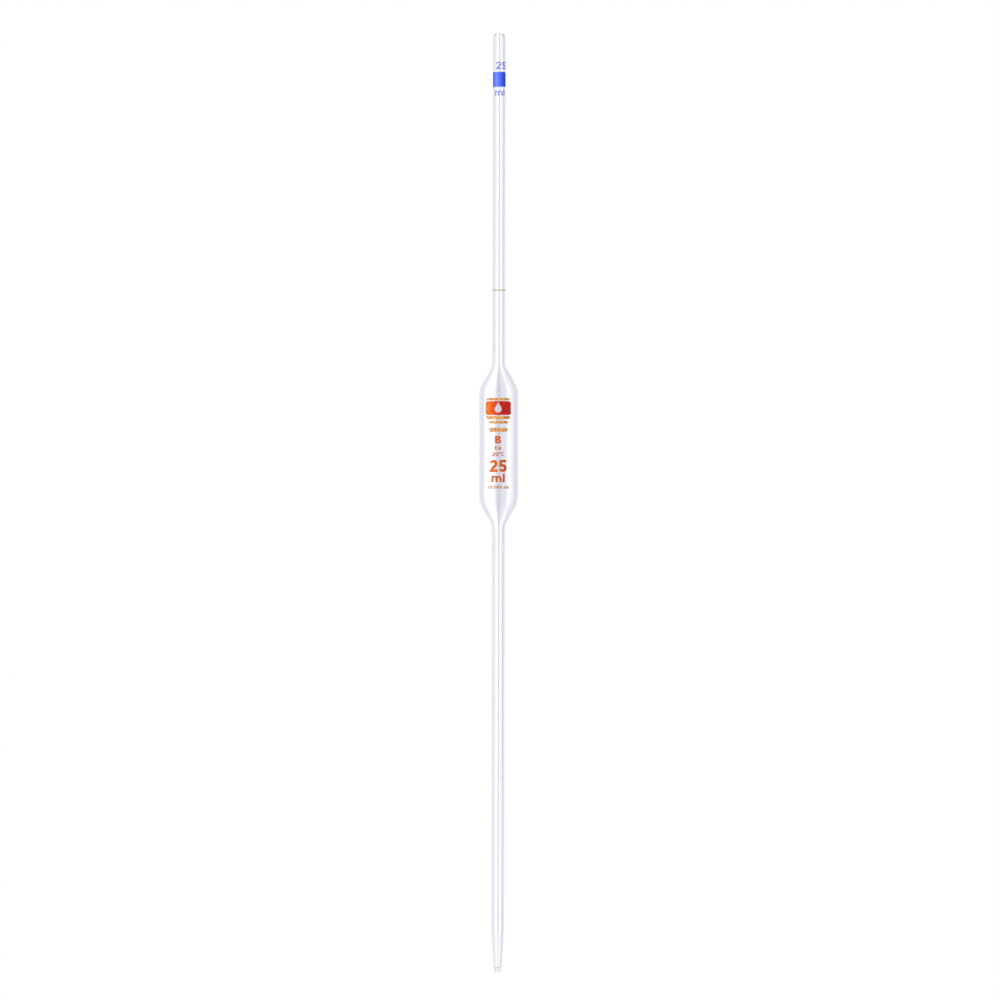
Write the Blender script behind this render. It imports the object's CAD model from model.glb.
"""Looks of a 25 ml volumetric pipette: one clear glass body with fired-on enamel marks."""

import math

import bpy
from mathutils import Matrix, Vector


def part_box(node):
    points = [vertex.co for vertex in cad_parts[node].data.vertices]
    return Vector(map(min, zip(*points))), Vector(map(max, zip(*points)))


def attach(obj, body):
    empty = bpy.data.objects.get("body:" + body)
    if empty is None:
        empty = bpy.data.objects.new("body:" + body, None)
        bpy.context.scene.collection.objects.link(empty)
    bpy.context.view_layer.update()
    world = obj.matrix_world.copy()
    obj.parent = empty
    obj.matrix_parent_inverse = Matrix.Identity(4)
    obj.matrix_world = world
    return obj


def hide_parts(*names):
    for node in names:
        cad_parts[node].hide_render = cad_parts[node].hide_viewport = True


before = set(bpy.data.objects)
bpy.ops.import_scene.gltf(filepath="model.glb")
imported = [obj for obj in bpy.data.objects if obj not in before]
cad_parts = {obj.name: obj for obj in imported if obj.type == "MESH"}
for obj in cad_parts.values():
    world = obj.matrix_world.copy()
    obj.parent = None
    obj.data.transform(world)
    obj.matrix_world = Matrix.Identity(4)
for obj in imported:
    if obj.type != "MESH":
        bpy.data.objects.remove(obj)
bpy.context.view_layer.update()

# ---- Sizes, in metres. Places and outer sizes come from the frame ----

STEM_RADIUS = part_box("delivery_tube")[1].x
STEM_WALL = 0.0012
STEM_BORE = STEM_RADIUS - STEM_WALL
BULB_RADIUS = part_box("bulb")[1].x
BULB_WALL = 0.00126
BULB_BORE = BULB_RADIUS - BULB_WALL
BULB_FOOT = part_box("bulb")[0].z
BULB_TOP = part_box("bulb")[1].z
MOUTH_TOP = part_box("suction_tube")[1].z

NECK_LENGTH = 0.0060
SHOULDER_ANGLE = math.radians(29.5)
SHOULDER_LENGTH = (BULB_RADIUS - STEM_RADIUS) / math.tan(SHOULDER_ANGLE)
BARREL_ROUNDING = 0.0120
NECK_ROUNDING = 0.0100

JET_RADIUS = 0.00175
JET_BORE = 0.0005
JET_ROUNDING = 0.0004
NIB_LENGTH = 0.0026
BEVEL_LENGTH = 0.0008
TAPER_FOOT_RADIUS = 0.0022
BORE_FOOT_RADIUS = 0.0013  # the wide bore ends here, in a rounded foot over the jet's own bore
BORE_FOOT = 0.0028
BORE_ROUNDING = 0.0007
JET_LIP = 0.0002
TAPER_TOP = 0.0250
TAPER_EASE = 1.15

RIM_RADIUS = 0.0024
MOUTH_BORE = 0.0020
MOUTH_DRAW = 0.0027
MOUTH_EASE = 1.8

FUSED_BEAD = 0.00003  # how far the glass stands proud where the flame joined two tubes
FUSED_WIDTH = 0.0012
RING_DEPTH = 0.00002  # how far a fired ring has sunk into the glass
RING_PROUD = 0.00004  # how far it stands out of it, which is also how far its edges slope

# A face looks at the axis if its place times its normal, both seen from above, is below this
FACING_AXIS = -0.001

TURN_STEPS = 144
ARC_STEPS = 20
TAPER_STEPS = 28
BARREL_STEPS = 24
STEM_STEPS = 48
RIM_STEPS = 8


# ---- Small helpers for node trees ----


def new_material(name):
    """An empty material, its nodes and its output."""
    material = bpy.data.materials.new(name)
    material.use_nodes = True
    tree = material.node_tree
    tree.nodes.clear()
    output = tree.nodes.new("ShaderNodeOutputMaterial")
    return material, tree, output


def add_node(tree, kind, **settings):
    node = tree.nodes.new(kind)
    for name, value in settings.items():
        setattr(node, name, value)
    return node


def feed(tree, source, target):
    tree.links.new(source, target)


def maths(tree, operation, first, second=None, third=None):
    """The result of a Math node on sockets or numbers."""
    node = add_node(tree, "ShaderNodeMath", operation=operation)
    for socket, value in zip(node.inputs, (first, second, third)):
        if value is None:
            continue
        if isinstance(value, (int, float)):
            socket.default_value = value
        else:
            feed(tree, value, socket)
    return node.outputs[0]


def ramp(tree, factor, stops, interpolation="LINEAR"):
    """A colour ramp with (place, colour) stops."""
    node = add_node(tree, "ShaderNodeValToRGB")
    node.color_ramp.interpolation = interpolation
    elements = node.color_ramp.elements
    elements[0].position, elements[0].color = stops[0][0], (*stops[0][1], 1)
    elements[1].position, elements[1].color = stops[-1][0], (*stops[-1][1], 1)
    for place, colour in stops[1:-1]:
        elements.new(place).color = (*colour, 1)
    feed(tree, factor, node.inputs["Fac"])
    return node.outputs["Color"]


def blend_colours(tree, mode, factor, first, second):
    node = add_node(tree, "ShaderNodeMix", data_type="RGBA", blend_type=mode)
    for socket, value in zip((node.inputs[0], node.inputs[6], node.inputs[7]), (factor, first, second)):
        if isinstance(value, (int, float)):
            socket.default_value = value
        elif isinstance(value, tuple):
            socket.default_value = (*value, 1)
        else:
            feed(tree, value, socket)
    return node.outputs[2]


def noise(tree, scale, stretch=(1, 1, 1), detail=2.0):
    """Noise in the object's own space: scale is per metre, stretch scales each axis."""
    place = add_node(tree, "ShaderNodeTexCoord")
    mapping = add_node(tree, "ShaderNodeMapping")
    mapping.inputs["Scale"].default_value = stretch
    feed(tree, place.outputs["Object"], mapping.inputs["Vector"])
    texture = add_node(tree, "ShaderNodeTexNoise")
    texture.inputs["Scale"].default_value = scale
    texture.inputs["Detail"].default_value = detail
    feed(tree, mapping.outputs["Vector"], texture.inputs["Vector"])
    return texture.outputs["Fac"]


def bump(tree, height, strength, distance):
    node = add_node(tree, "ShaderNodeBump")
    node.inputs["Strength"].default_value = strength
    node.inputs["Distance"].default_value = distance
    feed(tree, height, node.inputs["Height"])
    return node.outputs["Normal"]


# ---- Materials ----


def glass_material():
    """Clear drawn glass: faint lengthwise striae, and a little grey-violet in its depth."""
    material, tree, output = new_material("clear_glass")
    shader = add_node(tree, "ShaderNodeBsdfPrincipled")
    shader.inputs["IOR"].default_value = 1.5
    shader.inputs["Roughness"].default_value = 0.0
    shader.inputs["Transmission Weight"].default_value = 1.0
    striae = noise(tree, 900, (1, 1, 0.012), 3.0)
    tint = ramp(tree, striae, ((0.35, (0.985, 0.983, 0.992)), (0.6, (1, 1, 1))))
    feed(tree, tint, shader.inputs["Base Color"])
    feed(tree, bump(tree, striae, 0.04, 0.0001), shader.inputs["Normal"])
    feed(tree, shader.outputs[0], output.inputs["Surface"])
    depth = add_node(tree, "ShaderNodeVolumeAbsorption")
    depth.inputs["Color"].default_value = (0.40, 0.41, 0.60, 1)
    depth.inputs["Density"].default_value = 38
    feed(tree, depth.outputs[0], output.inputs["Volume"])
    return material


def backed(tree, face, place, split, back):
    """The side of a mark that is fused to the glass is lit by what comes through the glass.

    That side is the one whose normal points to the axis.
    """
    facing = add_node(tree, "ShaderNodeSeparateXYZ")
    feed(tree, place.outputs["Normal"], facing.inputs[0])
    across = maths(tree, "MULTIPLY", split.outputs["X"], facing.outputs["X"])
    outwards = maths(tree, "MULTIPLY_ADD", split.outputs["Y"], facing.outputs["Y"], across)
    glow = add_node(tree, "ShaderNodeEmission")
    if isinstance(back, tuple):
        glow.inputs["Color"].default_value = (*back, 1)
    else:
        feed(tree, back, glow.inputs["Color"])
    either = add_node(tree, "ShaderNodeMixShader")
    feed(tree, maths(tree, "LESS_THAN", outwards, FACING_AXIS), either.inputs[0])
    feed(tree, face, either.inputs[1])
    feed(tree, glow.outputs[0], either.inputs[2])
    return either.outputs[0]


def enamel_material(name, across, reach, roughness, worn=None, back=None):
    """Fired enamel: its colours run across the mark, with grain and gloss.

    worn is how dark its thicker patches are, and back is the colour of its inner side.
    """
    material, tree, output = new_material(name)
    shader = add_node(tree, "ShaderNodeBsdfPrincipled")
    place = add_node(tree, "ShaderNodeTexCoord")
    split = add_node(tree, "ShaderNodeSeparateXYZ")
    feed(tree, place.outputs["Object"], split.inputs[0])
    share = maths(tree, "MULTIPLY_ADD", split.outputs["X"], 0.5 / reach, 0.5)
    colour = ramp(tree, share, across, "EASE")
    grain = noise(tree, 2500, (1, 1, 1), 4.0)
    mottle = ramp(tree, grain, ((0.3, (0.86, 0.86, 0.86)), (0.7, (1.08, 1.08, 1.08))))
    colour = blend_colours(tree, "MULTIPLY", 1.0, colour, mottle)
    if worn:
        patches = noise(tree, 900, (1, 1, 0.6), 1.0)
        thick = ramp(tree, patches, ((0.40, (worn, worn**2, worn**4)), (0.62, (1.12, 1.25, 1.5))))
        colour = blend_colours(tree, "MULTIPLY", 1.0, colour, thick)
    feed(tree, colour, shader.inputs["Base Color"])
    gloss = maths(tree, "MULTIPLY_ADD", grain, 0.2, roughness - 0.1)
    feed(tree, gloss, shader.inputs["Roughness"])
    feed(tree, bump(tree, grain, 0.15, 0.00002), shader.inputs["Normal"])
    shader.inputs["IOR"].default_value = 1.5
    shader.inputs["Specular IOR Level"].default_value = 0.12
    both = backed(tree, shader.outputs[0], place, split, back or colour)
    feed(tree, both, output.inputs["Surface"])
    return material


# ---- The glass ----


def rounded_corner(before, corner, after, radius, steps=ARC_STEPS):
    """The arc of this radius that rounds the corner of an outline, as points."""
    corner = Vector(corner)
    back = (Vector(before) - corner).normalized()
    onward = (Vector(after) - corner).normalized()
    half = back.angle(onward) / 2
    start = corner + back * (radius / math.tan(half))
    centre = corner + (back + onward).normalized() * (radius / math.sin(half))
    turn = math.pi - 2 * half
    if back.cross(onward) > 0:
        turn = -turn
    arm = start - centre
    return [tuple(centre + Matrix.Rotation(turn * step / steps, 2) @ arm) for step in range(steps + 1)]


def eased(low, high, share, ease):
    """From low to high as share goes from 0 to 1, arriving at high without a corner."""
    return high - (high - low) * (1 - share) ** ease


def straight(radius, top, foot, steps=BARREL_STEPS):
    """A straight stretch, without its ends, top to bottom."""
    return [(radius, top + (foot - top) * step / steps) for step in range(1, steps)]


def mouth(rim, wall):
    """One side of the fire-polished mouth below its round rim, top to bottom."""
    lip = (RIM_RADIUS - MOUTH_BORE) / 2
    points = []
    for step in range(TAPER_STEPS + 1):
        share = step / TAPER_STEPS
        radius = eased(rim, wall, share, MOUTH_EASE)
        height = MOUTH_TOP - lip - (MOUTH_DRAW - lip) * share
        points.append((radius, height))
    return points


def rim():
    """The round lip of the mouth, from the bore over the top to the outside."""
    middle = (RIM_RADIUS + MOUTH_BORE) / 2
    lip = (RIM_RADIUS - MOUTH_BORE) / 2
    points = []
    for step in range(1, RIM_STEPS):
        angle = math.pi * (1 - step / RIM_STEPS)
        points.append((middle + lip * math.cos(angle), MOUTH_TOP - lip + lip * math.sin(angle)))
    return points


def barrel(stem, body, neck_rounding, body_rounding, lift_neck, lift_body):
    """One side of the bulb from the upper neck to the lower one, top to bottom."""
    shoulder_top = BULB_TOP - NECK_LENGTH
    shoulder_foot = BULB_FOOT + NECK_LENGTH
    corners = (
        (stem, BULB_TOP),
        (stem, shoulder_top - lift_neck),
        (body, shoulder_top - SHOULDER_LENGTH - lift_body),
        (body, shoulder_foot + SHOULDER_LENGTH + lift_body),
        (stem, shoulder_foot + lift_neck),
        (stem, BULB_FOOT),
    )
    upper = rounded_corner(*corners[0:3], neck_rounding)
    upper += rounded_corner(*corners[1:4], body_rounding)
    lower = rounded_corner(*corners[2:5], body_rounding)
    lower += rounded_corner(*corners[3:6], neck_rounding)
    return upper + straight(body, upper[-1][1], lower[0][1]) + lower


def taper(foot_radius, wall, foot):
    """One side of the drawn taper, top to bottom."""
    points = []
    for step in range(TAPER_STEPS + 1):
        share = 1 - step / TAPER_STEPS
        radius = eased(foot_radius, wall, share, TAPER_EASE)
        points.append((radius, foot + (TAPER_TOP - foot) * share))
    return points


def bead(height):
    """How far the glass stands proud at this height, at the two fused joints."""
    return sum(
        FUSED_BEAD * math.exp(-(((height - joint) / FUSED_WIDTH) ** 2))
        for joint in (BULB_FOOT, BULB_TOP)
    )


def outer_side():
    """The outside from under the rim to the end of the nib, top to bottom."""
    points = mouth(RIM_RADIUS, STEM_RADIUS)
    bulb = barrel(STEM_RADIUS, BULB_RADIUS, NECK_ROUNDING, BARREL_ROUNDING, 0, 0)
    points += straight(STEM_RADIUS, points[-1][1], bulb[0][1], STEM_STEPS)
    points += bulb
    points += straight(STEM_RADIUS, bulb[-1][1], TAPER_TOP, STEM_STEPS)
    points += taper(TAPER_FOOT_RADIUS, STEM_RADIUS, NIB_LENGTH + BEVEL_LENGTH)
    points += straight(JET_RADIUS, NIB_LENGTH, JET_ROUNDING, 4)
    points += rounded_corner((JET_RADIUS, NIB_LENGTH), (JET_RADIUS, 0), (0, 0), JET_ROUNDING, 8)
    return points


def inner_side():
    """The bore from the mouth to the jet, top to bottom."""
    lift = math.tan(SHOULDER_ANGLE / 2)
    points = mouth(MOUTH_BORE, STEM_BORE)
    bulb = barrel(
        STEM_BORE,
        BULB_BORE,
        NECK_ROUNDING + STEM_WALL,
        BARREL_ROUNDING - BULB_WALL,
        -STEM_WALL * lift,
        BULB_WALL * lift,
    )
    points += straight(STEM_BORE, points[-1][1], bulb[0][1], STEM_STEPS)
    points += bulb
    points += straight(STEM_BORE, bulb[-1][1], TAPER_TOP, STEM_STEPS)
    points += taper(BORE_FOOT_RADIUS, STEM_BORE, BORE_FOOT + BORE_ROUNDING)[:-1]
    foot = ((BORE_FOOT_RADIUS, TAPER_TOP), (BORE_FOOT_RADIUS, BORE_FOOT), (0, BORE_FOOT))
    points += rounded_corner(*foot, BORE_ROUNDING, 10)
    points += straight(JET_BORE, BORE_FOOT - 0.0001, 0, 6)
    points.append((JET_BORE + JET_LIP, 0))
    return points


def turn_round(piece):
    """Turns a closed outline round the axis."""
    screw = piece.modifiers.new("Turn", "SCREW")
    screw.axis = "Z"
    screw.angle = math.tau
    screw.steps = TURN_STEPS
    screw.render_steps = TURN_STEPS
    screw.use_merge_vertices = True
    screw.merge_threshold = 0.000001
    screw.use_smooth_shade = True


def glass_body(material):
    """The three tubes as the one body that the flame made of them."""
    outer = [(radius + bead(height), height) for radius, height in outer_side()]
    inner = [(radius - bead(height), height) for radius, height in inner_side()]
    outline = outer + inner[::-1] + rim()
    mesh = bpy.data.meshes.new("glass_body")
    edges = [(i, (i + 1) % len(outline)) for i in range(len(outline))]
    mesh.from_pydata([(radius, 0, height) for radius, height in outline], edges, [])
    body = bpy.data.objects.new("glass_body", mesh)
    bpy.context.scene.collection.objects.link(body)
    turn_round(body)
    mesh.materials.append(material)
    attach(body, "root")
    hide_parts("delivery_tube", "bulb", "suction_tube")


# ---- The marks ----


def fired_ring(node, material):
    """A mark fused into the glass all the way round, with soft edges, for a CAD ring."""
    low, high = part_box(node)
    inner = STEM_RADIUS - RING_DEPTH
    outer = STEM_RADIUS + RING_PROUD
    middle = (low.z + high.z) / 2
    reach = (high.z - low.z) / 2
    outline = [(inner, -reach), (STEM_RADIUS, -reach), (outer, RING_PROUD - reach)]
    outline += [(outer, reach - RING_PROUD), (STEM_RADIUS, reach), (inner, reach)]
    mesh = bpy.data.meshes.new(f"fired_{node}")
    edges = [(i, (i + 1) % len(outline)) for i in range(len(outline))]
    mesh.from_pydata([(radius, 0, middle + height) for radius, height in outline], edges, [])
    ring = bpy.data.objects.new(f"fired_{node}", mesh)
    bpy.context.scene.collection.objects.link(ring)
    turn_round(ring)
    mesh.materials.append(material)
    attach(ring, "root")
    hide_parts(node)


# How the colours run from the left of a mark to its right
BLUE_ACROSS = (
    (0.0, (0.020, 0.045, 0.60)),
    (0.27, (0.140, 0.230, 0.92)),
    (0.5, (0.085, 0.165, 0.88)),
    (0.75, (0.035, 0.090, 0.80)),
    (1.0, (0.006, 0.018, 0.50)),
)
THIN_BLUE_ACROSS = (
    (0.0, (0.20, 0.26, 0.78)),
    (0.5, (0.18, 0.24, 0.74)),
    (1.0, (0.13, 0.18, 0.60)),
)
AMBER_ACROSS = (
    (0.0, (0.66, 0.16, 0.012)),
    (0.5, (0.53, 0.090, 0.003)),
    (1.0, (0.41, 0.050, 0.002)),
)
PALE_ACROSS = (
    (0.0, (0.72, 0.42, 0.17)),
    (0.5, (0.68, 0.36, 0.13)),
    (1.0, (0.62, 0.31, 0.12)),
)
EMBLEM_ACROSS = (
    (0.0, (0.72, 0.17, 0.020)),
    (0.4, (0.60, 0.045, 0.002)),
    (0.65, (0.42, 0.006, 0.001)),
    (1.0, (0.44, 0.012, 0.003)),
)
STAIN_ACROSS = (
    (0.0, (0.46, 0.30, 0.10)),
    (0.5, (0.72, 0.48, 0.13)),
    (1.0, (0.46, 0.30, 0.10)),
)
SMALL_ACROSS = (
    (0.0, (0.54, 0.19, 0.004)),
    (0.5, (0.44, 0.13, 0.002)),
    (1.0, (0.38, 0.10, 0.002)),
)
RING_BACK = (0.74, 0.78, 0.96)  # a ring's pale inner face, seen through the glass
REPLACED = ("delivery_tube", "bulb", "suction_tube", "colour_code_band", "ring_mark")
PALE_NODES = ("rule_top", "rule_under_emblem", "rule_second", "rule_third")
SMALL_PREFIXES = ("delivery_", "temperature_", "tolerance_")


def finish_marks():
    blue = enamel_material("thin_blue_enamel", THIN_BLUE_ACROSS, STEM_RADIUS, 0.30)
    band = enamel_material("band_enamel", BLUE_ACROSS, STEM_RADIUS, 0.30, back=RING_BACK)
    amber = enamel_material("amber_enamel", AMBER_ACROSS, 0.006, 0.36, 0.90)
    small = enamel_material("thin_amber_enamel", SMALL_ACROSS, 0.006, 0.36)
    pale = enamel_material("pale_amber_enamel", PALE_ACROSS, 0.007, 0.40, 0.72)
    emblem = enamel_material("emblem_enamel", EMBLEM_ACROSS, 0.0075, 0.34, 0.90)
    stain = enamel_material("amber_stain", STAIN_ACROSS, STEM_RADIUS, 0.25, back=RING_BACK)
    fired_ring("colour_code_band", band)
    fired_ring("ring_mark", stain)
    for name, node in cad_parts.items():
        if name in REPLACED:
            continue
        if name.startswith("stem_"):
            finish = blue
        elif name == "emblem":
            finish = emblem
        elif name in PALE_NODES:
            finish = pale
        elif name.startswith(SMALL_PREFIXES):
            finish = small
        else:
            finish = amber
        node.data.materials.clear()
        node.data.materials.append(finish)


# ---- Floor, light and camera ----

FLOOR_RADIUS = 1.6
CAMERA_DISTANCE = 1.7
FRAME_HEIGHT = 0.5544
FRAME_MIDDLE = 0.2617
CAMERA_ASIDE = 0.0008
LEAN = math.radians(0.10)

# What is seen through the glass, by the angle from +Y towards +X, in shares of a turn
# from straight ahead of the camera. Each eighth of a turn has one white panel.
PANEL_COUNT = 8
PANEL = (
    (0.00, (0.76, 0.75, 0.80)),
    (0.22, (0.78, 0.77, 0.82)),
    (0.25, (1.10, 1.09, 1.14)),
    (0.46, (1.10, 1.08, 1.14)),
    (0.49, (0.66, 0.67, 0.73)),
    (0.55, (0.66, 0.67, 0.73)),
    (0.58, (0.98, 0.99, 1.02)),
    (0.70, (0.96, 0.98, 1.00)),
    (0.76, (0.84, 0.86, 0.88)),
    (1.00, (0.80, 0.82, 0.84)),
)
SURROUND = (
    (0.00, (0.80, 0.80, 0.82)),
    (0.30, (0.90, 0.90, 0.93)),
    (0.45, (1.00, 1.00, 1.02)),
    (0.55, (1.00, 1.00, 1.00)),
    (0.58, (0.80, 0.83, 0.83)),
    (0.70, (0.74, 0.78, 0.78)),
    (0.80, (0.80, 0.82, 0.83)),
    (1.00, (0.80, 0.80, 0.82)),
)
# The glass mirrors two equal softboxes in a dim room, 45 degrees each side of the camera
ROOM_LIGHT = 1.0
SOFTBOX_LIGHT = 4.0
SOFTBOX_ANGLE = math.radians(135)
SOFTBOX_HALF_WIDTH = math.radians(25)
SOFTBOX_BLUR = math.radians(15)


def clamped_fall(tree, value, start, end):
    """Falls from 1 to 0 while the value goes from start to end."""
    node = add_node(tree, "ShaderNodeMapRange")
    node.inputs["From Min"].default_value = start
    node.inputs["From Max"].default_value = end
    node.inputs["To Min"].default_value = 1
    node.inputs["To Max"].default_value = 0
    feed(tree, value, node.inputs["Value"])
    return node.outputs["Result"]


def studio_world():
    """White to the camera, panels through the glass, and softboxes in its reflections."""
    world = bpy.data.worlds.new("white_studio")
    world.use_nodes = True
    tree = world.node_tree
    tree.nodes.clear()
    output = add_node(tree, "ShaderNodeOutputWorld")
    place = add_node(tree, "ShaderNodeTexCoord")
    split = add_node(tree, "ShaderNodeSeparateXYZ")
    feed(tree, place.outputs["Generated"], split.inputs[0])
    angle = maths(tree, "ARCTAN2", split.outputs["X"], split.outputs["Y"])
    turn = maths(tree, "MULTIPLY_ADD", angle, 1 / math.tau, 0.5)
    panel = maths(tree, "FRACT", maths(tree, "MULTIPLY_ADD", turn, PANEL_COUNT, 0.5))
    surround = ramp(tree, turn, SURROUND, "EASE")
    panels = blend_colours(tree, "MULTIPLY", 1.0, ramp(tree, panel, PANEL), surround)
    aside = maths(tree, "ABSOLUTE", angle)
    off_middle = maths(tree, "ABSOLUTE", maths(tree, "SUBTRACT", aside, SOFTBOX_ANGLE))
    edge = SOFTBOX_HALF_WIDTH + SOFTBOX_BLUR
    inside = clamped_fall(tree, off_middle, SOFTBOX_HALF_WIDTH, edge)
    room = (ROOM_LIGHT, ROOM_LIGHT, ROOM_LIGHT)
    box = (SOFTBOX_LIGHT, SOFTBOX_LIGHT, SOFTBOX_LIGHT)
    lamps = blend_colours(tree, "MIX", inside, room, box)
    path = add_node(tree, "ShaderNodeLightPath")
    mirrored = maths(
        tree, "MULTIPLY", path.outputs["Is Reflection Ray"], path.outputs["Is Glossy Ray"]
    )
    studio = blend_colours(tree, "MIX", mirrored, panels, lamps)
    colour = blend_colours(tree, "MIX", path.outputs["Is Camera Ray"], studio, (1.0, 1.0, 1.0))
    backdrop = add_node(tree, "ShaderNodeBackground")
    feed(tree, colour, backdrop.inputs["Color"])
    feed(tree, backdrop.outputs[0], output.inputs["Surface"])
    bpy.context.scene.world = world


def floor_material():
    """A pale, evenly lit table top, which burns out to white in the picture."""
    material, tree, output = new_material("pale_table")
    grain = noise(tree, 6, (1, 1, 1), 2.0)
    colour = ramp(tree, grain, ((0.3, (0.88, 0.88, 0.90)), (0.7, (0.92, 0.92, 0.93))))
    matt = add_node(tree, "ShaderNodeBsdfDiffuse")
    feed(tree, colour, matt.inputs["Color"])
    seen = add_node(tree, "ShaderNodeEmission")
    path = add_node(tree, "ShaderNodeLightPath")
    both = add_node(tree, "ShaderNodeMixShader")
    feed(tree, path.outputs["Is Camera Ray"], both.inputs[0])
    feed(tree, matt.outputs[0], both.inputs[1])
    feed(tree, seen.outputs[0], both.inputs[2])
    feed(tree, both.outputs[0], output.inputs["Surface"])
    return material


def add_floor():
    """A round table top, which the glass neither reflects nor shows behind it."""
    mesh = bpy.data.meshes.new("floor")
    rim_points = 96
    outline = []
    for step in range(rim_points):
        angle = math.tau * step / rim_points
        outline.append((FLOOR_RADIUS * math.cos(angle), FLOOR_RADIUS * math.sin(angle), 0))
    mesh.from_pydata(outline, [], [tuple(range(rim_points))])
    floor = bpy.data.objects.new("floor", mesh)
    bpy.context.scene.collection.objects.link(floor)
    floor.location.z = -0.0005
    mesh.materials.append(floor_material())
    floor.visible_glossy = False
    floor.visible_transmission = False


def add_softbox(name, place, aim, width, height, power):
    light = bpy.data.lights.new(name, "AREA")
    light.shape = "RECTANGLE"
    light.size = width
    light.size_y = height
    light.energy = power
    lamp = bpy.data.objects.new(name, light)
    bpy.context.scene.collection.objects.link(lamp)
    lamp.location = place
    lamp.rotation_euler = (Vector(aim) - Vector(place)).to_track_quat("-Z", "Y").to_euler()
    lamp.visible_transmission = False
    lamp.visible_glossy = False


def add_camera():
    data = bpy.data.cameras.new("camera")
    data.lens = data.sensor_width * CAMERA_DISTANCE / FRAME_HEIGHT
    camera = bpy.data.objects.new("camera", data)
    bpy.context.scene.collection.objects.link(camera)
    camera.location = (CAMERA_ASIDE, -CAMERA_DISTANCE, FRAME_MIDDLE)
    upright = Matrix.Rotation(math.pi / 2, 4, "X")
    camera.matrix_world = (
        Matrix.Translation(camera.location) @ upright @ Matrix.Rotation(LEAN, 4, "Z")
    )
    bpy.context.scene.camera = camera


glass_body(glass_material())
finish_marks()
add_floor()
studio_world()
add_softbox("key_softbox", (-1.0, -1.3, 0.45), (0, 0, 0.3), 0.5, 0.25, 12)
add_camera()
bpy.context.scene.view_settings.view_transform = "Standard"
